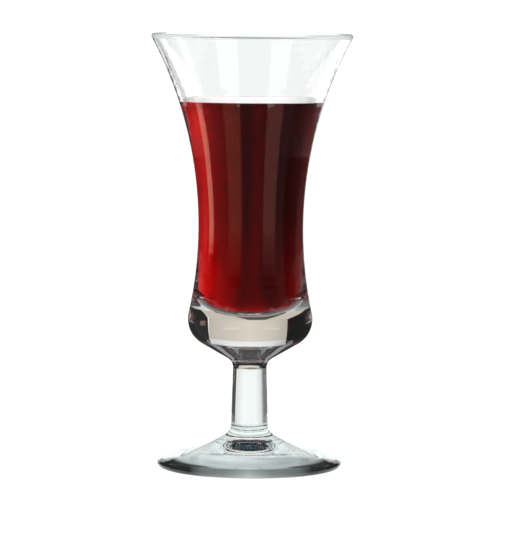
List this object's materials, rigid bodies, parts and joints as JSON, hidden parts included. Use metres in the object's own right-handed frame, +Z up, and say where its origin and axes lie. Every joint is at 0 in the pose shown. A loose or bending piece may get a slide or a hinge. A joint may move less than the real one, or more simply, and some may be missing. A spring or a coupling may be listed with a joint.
{
  "type": "sherry glass",
  "caption": "Footed sherry glass: waisted bowl with a flared rim and a thick base, short stem and round foot, holding a measure of red wine.",
  "frame": {"origin": "on the axis of the glass, in the plane that it stands on", "axes": "+Z up the axis of the glass, from the foot to the rim; X and Y are alike, because every piece is turned about Z"},
  "size_m": [0.0552, 0.0552, 0.1193],
  "materials": {
    "clear_glass": "polished",
    "red_wine": "polished"
  },
  "bodies": {
    "root": {"foot": "clear_glass", "stem": "clear_glass", "bowl": "clear_glass", "sherry": "red_wine"}
  },
  "joints": []
}
